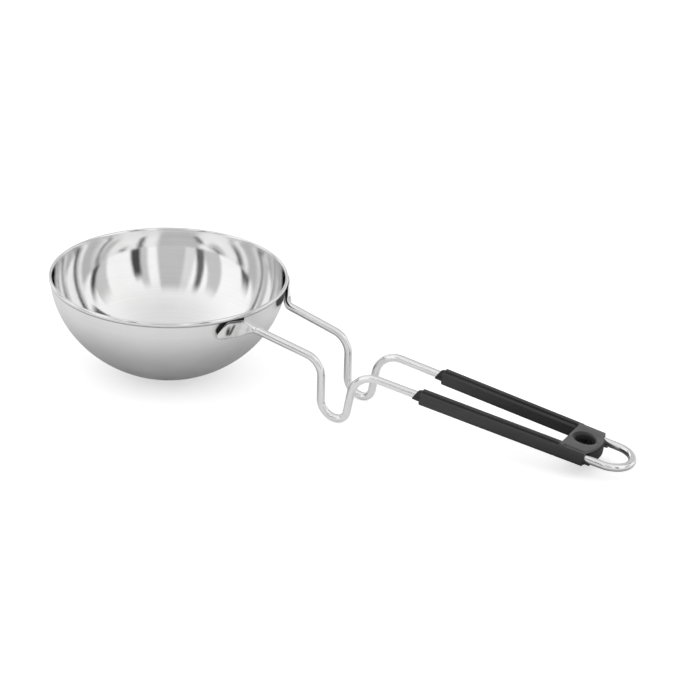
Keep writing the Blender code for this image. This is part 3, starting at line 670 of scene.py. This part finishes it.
def turned_bmesh(profile, sides, centre=(0.0, 0.0), axis="Z", twist=0.0):
    """A closed solid turned from (radius, height) points that start and end on the axis.

    Cutters are twisted a little, so that none of their corners lines up with the solid's."""
    bm = bmesh.new()
    rings = []
    for radius, height in profile:
        if radius == 0.0:
            rings.append([bm.verts.new((0.0, 0.0, height))])
            continue
        rings.append([bm.verts.new((radius * math.cos(2.0 * math.pi * turn / sides + twist),
                                    radius * math.sin(2.0 * math.pi * turn / sides + twist),
                                    height))
                      for turn in range(sides)])
    for first, second in zip(rings, rings[1:]):
        for turn in range(sides):
            after = (turn + 1) % sides
            if len(first) == 1:
                bm.faces.new((first[0], second[after], second[turn]))
            elif len(second) == 1:
                bm.faces.new((first[turn], first[after], second[0]))
            else:
                bm.faces.new((first[turn], first[after], second[after], second[turn]))
    if axis == "X":
        bmesh.ops.rotate(bm, cent=(0.0, 0.0, 0.0), matrix=Matrix.Rotation(math.pi / 2.0, 3, "Y"),
                         verts=bm.verts)
    bmesh.ops.translate(bm, vec=(centre[0], centre[1], 0.0), verts=bm.verts)
    return bm


def plate_bmesh(outline, z_bottom, z_top):
    bm = bmesh.new()
    face = bm.faces.new([bm.verts.new((x, y, z_bottom)) for x, y in outline])
    top = bmesh.ops.extrude_face_region(bm, geom=[face])
    raised = [item for item in top["geom"] if isinstance(item, bmesh.types.BMVert)]
    bmesh.ops.translate(bm, vec=(0.0, 0.0, z_top - z_bottom), verts=raised)
    return bm


def slice_off(bm, point, normal):
    """Cut away what lies on the normal's side of a plane, and close the cut."""
    geometry = bm.verts[:] + bm.edges[:] + bm.faces[:]
    cut = bmesh.ops.bisect_plane(bm, geom=geometry, plane_co=point, plane_no=normal,
                                 clear_outer=True)
    rim = [item for item in cut["geom_cut"] if isinstance(item, bmesh.types.BMEdge)]
    bmesh.ops.contextual_create(bm, geom=rim)


def onto_leg(bm, side):
    """Move a shape made on the X axis to one of the grip's two converging legs."""
    turn = Matrix.Rotation(-side * math.atan(GRIP_TAPER), 4, "Z")
    bmesh.ops.transform(bm, matrix=turn, verts=bm.verts)
    bmesh.ops.translate(bm, vec=(0.0, side * GRIP_SPREAD, 0.0), verts=bm.verts)
    return bm


def bridge_outline(half_width, front, inset, steps=24):
    """Outline seen from above: straight front and sides, and a rear arc moved in by inset."""
    sagitta = BRIDGE_NOSE - LEG_REAR
    radius = (BRIDGE_HALF_W * BRIDGE_HALF_W + sagitta * sagitta) / (2.0 * sagitta)
    centre_x = BRIDGE_NOSE - radius
    radius -= inset
    limit = math.asin(half_width / radius)
    outline = [(front, -half_width)]
    for index in range(steps + 1):
        angle = -limit + 2.0 * limit * index / steps
        outline.append((centre_x + radius * math.cos(angle), radius * math.sin(angle)))
    outline.append((front, half_width))
    return outline


def leg_solid(side):
    bm = box_bmesh((LEG_FRONT, LEG_REAR), (-LEG_W / 2.0, LEG_W / 2.0), (LEG_BOTTOM, LEG_TOP))
    round_edges(bm, LEG_ROUND, 8, lambda middle, way: abs(way.x) > 0.999)
    round_edges(bm, LEG_END_ROUND, 4, lambda middle, way: middle.x < LEG_FRONT + 0.00001
                or middle.x > LEG_REAR - 0.00001)
    return onto_leg(bm, side)


def nose_cone(rear):
    """Collar round the rod, cut on a slant so that its bottom edge leads, with softened rims."""
    front = LEG_FRONT - NOSE_LEN
    bm = turned_bmesh([(0.0, front), (NOSE_TIP_R, front), (NOSE_ROOT_R, rear), (0.0, rear)], 40,
                      axis="X")
    way = Vector((NOSE_SLANT, 0.0, 2.0 * NOSE_TIP_R)).normalized()
    facing = Vector((-way.z, 0.0, way.x))
    slice_off(bm, (front + 0.0001, 0.0, -NOSE_TIP_R), facing)
    bmesh.ops.recalc_face_normals(bm, faces=bm.faces)
    bm.normal_update()
    rim = [edge for edge in bm.edges
           if sum(face.normal.dot(facing) > 0.99 for face in edge.link_faces) == 1]
    bmesh.ops.bevel(bm, geom=rim, offset=NOSE_ROUND, segments=3, profile=0.5, affect="EDGES")
    return bm


def nose_below(side):
    bm = nose_cone(LEG_FRONT + OVERLAP)
    slice_off(bm, (0.0, 0.0, -SEAM / 2.0), (0.0, 0.0, 1.0))
    return onto_leg(bm, side)


def nose_above(side):
    bm = nose_cone(LEG_FRONT - SEAM)
    slice_off(bm, (0.0, 0.0, SEAM / 2.0), (0.0, 0.0, -1.0))
    return onto_leg(bm, side)


def heel_below(side):
    """Short round stub behind a leg, cut on a slant, that the rod leaves through."""
    front, rear = LEG_REAR - OVERLAP, LEG_REAR + HEEL_LEN
    bm = turned_bmesh([(0.0, front), (HEEL_R, front), (HEEL_R, rear), (0.0, rear)], 40, axis="X")
    way = Vector((HEEL_LEN, 0.0, -HEEL_R - HEEL_TOP)).normalized()
    slice_off(bm, (LEG_REAR, 0.0, HEEL_TOP), (-way.z, 0.0, way.x))
    return onto_leg(bm, side)


def rod_hole(side, rear):
    front = LEG_FRONT - NOSE_LEN - PAST
    bm = turned_bmesh([(0.0, front), (ROD_HOLE_R, front), (ROD_HOLE_R, rear), (0.0, rear)], 44,
                      axis="X", twist=0.031)
    return onto_leg(bm, side)


def slot(side):
    """Cutter that opens a leg from above, so that the rod can be laid in."""
    bm = box_bmesh((LEG_FRONT - NOSE_LEN - PAST, LEG_REAR + PAST), (-ROD_HOLE_R, ROD_HOLE_R),
                   (0.0, LEG_TOP + PAST))
    return onto_leg(bm, side)


def strip(side):
    """The cover's flat strip over one run of rod."""
    half = ROD_HOLE_R - SEAM
    bm = box_bmesh((LEG_FRONT, LEG_REAR), (-half, half), (ROD_HOLE_R + 0.00005, COVER_STRIP_TOP))
    return onto_leg(bm, side)


def tab(side):
    """Joins the cover's half of a collar to its strip."""
    bm = box_bmesh((LEG_FRONT - TAB_LEN, LEG_FRONT + OVERLAP), (-TAB_HALF_W, TAB_HALF_W),
                   (ROD_HOLE_R + 0.00010, TAB_TOP))
    return onto_leg(bm, side)


def rib(side):
    """Raised rib along the middle of a strip."""
    front = LEG_FRONT + 0.0003
    bm = box_bmesh((front, BRIDGE_FRONT + 2.0 * OVERLAP), (-RIB_HALF_W, RIB_HALF_W),
                   (RIB_BOTTOM, COVER_RIB_TOP))
    round_edges(bm, RIB_ROUND, 5, lambda middle, way: abs(way.x) > 0.999
                and middle.z > COVER_STRIP_TOP)
    round_edges(bm, RIB_END_ROUND, 3, lambda middle, way: middle.x < front + 0.00001
                and middle.z > COVER_STRIP_TOP)
    return onto_leg(bm, side)


def on_screw_axis(profile, sides=64, twist=0.0):
    """A solid turned round the screw's axis."""
    return turned_bmesh(profile, sides, (SCREW_X, 0.0), twist=twist)


def post(radius, bottom, top, sides=64, twist=0.0):
    return on_screw_axis([(0.0, bottom), (radius, bottom), (radius, top), (0.0, top)], sides,
                         twist)


def cup_cutter():
    """Cutter for the recess: coved floor, straight wall, chamfered mouth with soft corners."""
    cove, steps = 0.0005, 4
    points = [(0.0, CUP_FLOOR)]
    for index in range(steps + 1):
        turn = math.pi / 2.0 * index / steps
        points.append((CUP_R - cove + cove * math.sin(turn),
                       CUP_FLOOR + cove - cove * math.cos(turn)))
    base = PLATE_TOP - CUP_CHAMFER
    points += [(CUP_R, base - 0.00012), (CUP_R + 0.00004, base), (CUP_R + 0.00012, base + 0.00010),
               (CUP_R + CUP_CHAMFER - 0.00012, PLATE_TOP - 0.00014),
               (CUP_R + CUP_CHAMFER + 0.00002, PLATE_TOP - 0.00004),
               (CUP_R + CUP_CHAMFER + 0.00018, PLATE_TOP + 0.00002),
               (CUP_R + CUP_CHAMFER + 0.0010, PLATE_TOP + PAST), (0.0, PLATE_TOP + PAST)]
    return on_screw_axis(points, 72, 0.017)


def carve(name, base, joined, cut, material):
    """Union and difference, applied, then put in the pot's frame."""
    obj = mesh_object(name, base)
    tools = []
    for operation, shapes in (("UNION", joined), ("DIFFERENCE", cut)):
        for index, shape in enumerate(shapes):
            tool = mesh_object(name + "_tool_" + operation + str(index), shape)
            tools.append(tool)
            modifier = obj.modifiers.new("step", "BOOLEAN")
            modifier.operation = operation
            modifier.solver = "EXACT"
            modifier.object = tool
    bpy.context.view_layer.update()
    graph = bpy.context.evaluated_depsgraph_get()
    carved = bpy.data.meshes.new_from_object(obj.evaluated_get(graph))
    obj.modifiers.clear()
    obj.data = carved
    carved.name = name
    for tool in tools:
        bpy.data.objects.remove(tool, do_unlink=True)
    carved.transform(GRIP_FRAME)
    carved.materials.clear()
    carved.materials.append(material)
    carved.shade_smooth()
    carved.set_sharp_from_angle(angle=math.radians(32.0))
    return obj


def build_body(material):
    """The long lower moulding: legs, bridge, boss, collars and heels, with the rod's slots."""
    block = plate_bmesh(bridge_outline(BRIDGE_HALF_W, BRIDGE_FRONT, 0.0), LEG_BOTTOM, LEG_TOP)
    round_edges(block, BRIDGE_ROUND, 5, lambda middle, way: abs(way.z) < 0.001
                and (middle.x > LEG_REAR - 0.0002 or middle.x < BRIDGE_FRONT + 0.0001))
    boss = on_screw_axis([(0.0, BOSS_BOTTOM), (BOSS_R - 0.0007, BOSS_BOTTOM),
                          (BOSS_R - 0.0004, BOSS_BOTTOM + 0.0003),
                          (BOSS_R, LEG_BOTTOM + OVERLAP), (0.0, LEG_BOTTOM + OVERLAP)])
    rear = LEG_REAR + HEEL_LEN + PAST
    recess = plate_bmesh(bridge_outline(PLATE_HALF_W + SEAM, BRIDGE_FRONT - OVERLAP, -PAST),
                         COVER_BOTTOM - SEAM, LEG_TOP + PAST)
    ring = CUP_R + CUP_WALL + SEAM
    half_hex = math.pi / 6.0      # the pocket is turned by this, as the nut is
    pocket = POCKET_HALF_FLATS / math.cos(half_hex)
    return carve("grip_body_moulding", leg_solid(1.0),
                 [leg_solid(-1.0), block, boss, nose_below(1.0), nose_below(-1.0),
                  heel_below(1.0), heel_below(-1.0)],
                 [rod_hole(1.0, rear), rod_hole(-1.0, rear), slot(1.0), slot(-1.0), recess,
                  post(ring, CUP_BOTTOM - SEAM, LEG_TOP + PAST, 72, 0.013),
                  post(SCREW_HOLE_R, BOSS_BOTTOM - PAST, LEG_TOP, 36, 0.023),
                  post(pocket, BOSS_BOTTOM - PAST, BOSS_BOTTOM + POCKET_DEPTH, 6,
                       half_hex + 0.007)],
                 material)


def build_cover(material):
    """The inlaid moulding: plate with its cup, ribbed strips, and the collars' upper halves."""
    plate = plate_bmesh(bridge_outline(PLATE_HALF_W, BRIDGE_FRONT, PLATE_INSET), COVER_BOTTOM,
                        PLATE_TOP)
    round_edges(plate, PLATE_ROUND, 4, lambda middle, way: middle.z > PLATE_TOP - 0.0001)
    rear = LEG_FRONT - SEAM / 2.0
    return carve("grip_cover_moulding", plate,
                 [strip(1.0), strip(-1.0), rib(1.0), rib(-1.0), nose_above(1.0), nose_above(-1.0),
                  tab(1.0), tab(-1.0),
                  post(CUP_R + CUP_WALL, CUP_BOTTOM, COVER_BOTTOM + OVERLAP)],
                 [rod_hole(1.0, rear), rod_hole(-1.0, rear), cup_cutter(),
                  post(SCREW_HOLE_R, CUP_BOTTOM - PAST, CUP_FLOOR + 2.0 * OVERLAP, 36, 0.029)],
                 material)


# ---------------------------------------------------------------- build the object
bowl_inside = spun_steel("bowl_polished_inside", tone=0.90, roughness=0.05, ring_strength=0.03,
                         anisotropy=0.85)
bowl_bead = spun_steel("bowl_bead", tone=0.90, roughness=0.14, ring_strength=0.03,
                       anisotropy=0.30)
bowl_outside = spun_steel("bowl_satin_outside", tone=0.93, roughness=0.33, ring_strength=0.08,
                          anisotropy=0.55, tinted_and_shaded=True)
rod_steel = drawn_steel("rod_drawn_steel")
body_bakelite = bakelite("grip_body_bakelite", tone=0.034, plate_tone=0.028, roughness=0.44)
cover_bakelite = bakelite("grip_cover_bakelite", tone=0.030, plate_tone=0.125, roughness=0.50)
screw_black = worn_steel("screw_blackened", tone=0.010, roughness=0.58)
nut_zinc = worn_steel("nut_zinc", tone=0.28, roughness=0.38)

bowl = build_bowl((bowl_inside, bowl_bead, bowl_outside))
rod = build_rod(rod_steel)
grip_body = build_body(body_bakelite)
grip_cover = build_cover(cover_bakelite)
for piece, node, slot_name in ((bowl, "bowl", "bowl_steel"), (rod, "handle_rod", "rod_steel"),
                               (grip_body, "grip_body", "grip_body"),
                               (grip_cover, "grip_cover", "grip_cover")):
    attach(piece, "root")
    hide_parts(node)
for name, material in (("clamp_screw", screw_black), ("clamp_nut", nut_zinc)):
    node = nodes[name]
    node.data.materials.clear()
    node.data.materials.append(material)


# ---------------------------------------------------------------- studio
WORLD_STRENGTH = 1.0
OVERHEAD_FROM, OVERHEAD_TO, OVERHEAD_LEVEL = math.radians(36.0), math.radians(80.0), 0.78
FLAG_EDGE, FLAG_TOP_EDGE, FLAG_FOOT_EDGE = 1.0, 7.0, 4.0    # half the softness, in degrees
FLAG_LEVEL = 20.0                 # height at which a flag's azimuth is given, in degrees
# (azimuth at FLAG_LEVEL, lean, half width, how dark, lowest, highest) in degrees
FLAGS = (
    (30.5, 1.30, 4.8, 0.93, 6.0, 26.0),
    (18.5, 0.50, 10.0, 0.38, -6.0, 36.0),
    (-27.0, 0.12, 5.0, 0.93, -6.0, 38.0),
    (-34.5, 0.10, 5.0, 0.40, -6.0, 48.0),
    (-64.5, 0.00, 14.5, 0.44, -6.0, 54.0),
    (-84.0, 0.00, 5.0, 0.26, -6.0, 54.0),
    (-95.5, -0.22, 4.2, 0.86, -6.0, 50.0),
    (-111.0, -0.50, 9.0, 0.42, -6.0, 45.0),
    (-156.0, -0.90, 6.5, 0.90, -6.0, 20.0),
    (173.5, 0.00, 5.5, 0.88, 6.0, 50.0),
    (100.0, 0.00, 40.0, 0.42, 6.0, 64.0),
    (54.0, 0.00, 5.5, 0.88, 28.0, 56.0),
)
# (centre, stretch along the handle, inner and outer radius, tone) of the painted shadow under each
# part, seen only by reflections and bounced light
FLOOR_PAINTED_SHADOWS = (
    (0.0, 1.0, 0.044, 0.104, 0.54),
    (0.200, 1.6, 0.020, 0.055, 0.25),
)
FLOOR_TONE, FLOOR_GLOW, FLOOR_BOUNCE = 0.88, 0.53, 0.98
FLOOR_DROP = 0.00005              # keeps the floor just clear of the bowl's base

CAMERA_PLACE = (0.86432, -1.61719, 0.86180)
CAMERA_AIM = (0.08972, 0.02520, 0.02000)
CAMERA_ROLL = math.radians(1.7635)
CAMERA_LENS = 205.714


def build_world():
    """Soft white dome with a few grey flags standing round the set, fading out overhead."""
    world = bpy.data.worlds.new("studio")
    bpy.context.scene.world = world
    world.use_nodes = True
    kit = Nodes(world.node_tree)
    direction = kit.add("ShaderNodeTexCoord").outputs["Generated"]
    parts = kit.add("ShaderNodeSeparateXYZ", {0: direction})
    height = kit.math("ARCSINE", parts.outputs[2])
    turn = kit.math("ARCTAN2", parts.outputs[1], parts.outputs[0])
    level = None
    for centre, lean, half_width, depth, low, top in FLAGS:
        middle = kit.math("ADD", kit.math("MULTIPLY", kit.math(
            "SUBTRACT", height, math.radians(FLAG_LEVEL)), lean), math.radians(centre))
        away = kit.math("DIVIDE", kit.math("SUBTRACT", turn, middle), 2.0 * math.pi)
        away = kit.math("SUBTRACT", kit.math("FRACT", kit.math("ADD", away, 1.5)), 0.5)
        away = kit.math("ABSOLUTE", away)
        side = kit.ranged(away, (half_width + FLAG_EDGE) / 360.0,
                          (half_width - FLAG_EDGE) / 360.0)
        above = kit.ranged(height, math.radians(top + FLAG_TOP_EDGE),
                           math.radians(top - FLAG_TOP_EDGE))
        below = kit.ranged(height, math.radians(low - FLAG_FOOT_EDGE),
                           math.radians(low + FLAG_FOOT_EDGE))
        mask = kit.math("MULTIPLY", kit.math("MULTIPLY", side, above), below)
        left = kit.math("SUBTRACT", 1.0, kit.math("MULTIPLY", mask, depth))
        level = left if level is None else kit.math("MINIMUM", level, left)
    level = kit.math("MULTIPLY", level, kit.ranged(height, OVERHEAD_FROM, OVERHEAD_TO, 1.0,
                                                   OVERHEAD_LEVEL))
    background = world.node_tree.nodes["Background"]
    kit.feed(background.inputs["Color"], kit.mix(level, (0.0, 0.0, 0.0, 1.0),
                                                 (1.0, 1.0, 1.0, 1.0)))
    background.inputs["Strength"].default_value = WORLD_STRENGTH


def build_floor():
    """White to the camera, with a painted shadow under the pot that only reflections and bounced
    light see.
    """
    bm = bmesh.new()
    bmesh.ops.create_grid(bm, x_segments=1, y_segments=1, size=5.0)
    plane = mesh_object("floor", bm)
    plane.location.z = -FLOOR_DROP
    material, kit, shader = new_material("floor_white")
    shader.inputs["Roughness"].default_value = 0.9
    shader.inputs["Specular IOR Level"].default_value = 0.0
    shader.inputs["Emission Color"].default_value = (1.0, 1.0, 1.0, 1.0)
    seen = kit.add("ShaderNodeLightPath").outputs["Is Camera Ray"]
    parts = kit.add("ShaderNodeSeparateXYZ",
                    {0: kit.add("ShaderNodeTexCoord").outputs["Object"]})
    # painted shadow under the bowl and the grip, darker towards each centre, for rays other than
    # the camera's
    bounce = None
    for middle, stretch, inner, outer, tone in FLOOR_PAINTED_SHADOWS:
        aside = kit.math("DIVIDE", kit.math("SUBTRACT", parts.outputs[0], middle), stretch)
        patch = kit.ranged(kit.length(aside, parts.outputs[1]), inner, outer, tone, FLOOR_BOUNCE)
        bounce = patch if bounce is None else kit.math("MINIMUM", bounce, patch)
    dull = kit.add("ShaderNodeCombineColor", {0: bounce, 1: bounce, 2: bounce}).outputs[0]
    kit.feed(shader.inputs["Base Color"], kit.mix(seen, dull, grey(FLOOR_TONE)))
    kit.feed(shader.inputs["Emission Strength"], kit.math("MULTIPLY", seen, FLOOR_GLOW))
    plane.data.materials.append(material)
    return plane


def build_camera():
    """Where the photograph's camera stood, for a 36 mm wide frame."""
    data = bpy.data.cameras.new("camera")
    data.sensor_width = 36.0
    data.lens = CAMERA_LENS
    data.clip_start = 0.05
    data.clip_end = 30.0
    camera = link(bpy.data.objects.new("camera", data))
    camera.location = CAMERA_PLACE
    look = Vector(CAMERA_AIM) - camera.location
    camera.rotation_mode = "QUATERNION"
    camera.rotation_quaternion = (look.to_track_quat("-Z", "Y")
                                  @ Matrix.Rotation(CAMERA_ROLL, 3, "Z").to_quaternion())
    return camera


build_world()
floor = build_floor()
bpy.context.scene.camera = build_camera()
bpy.context.scene.view_settings.view_transform = "Standard"
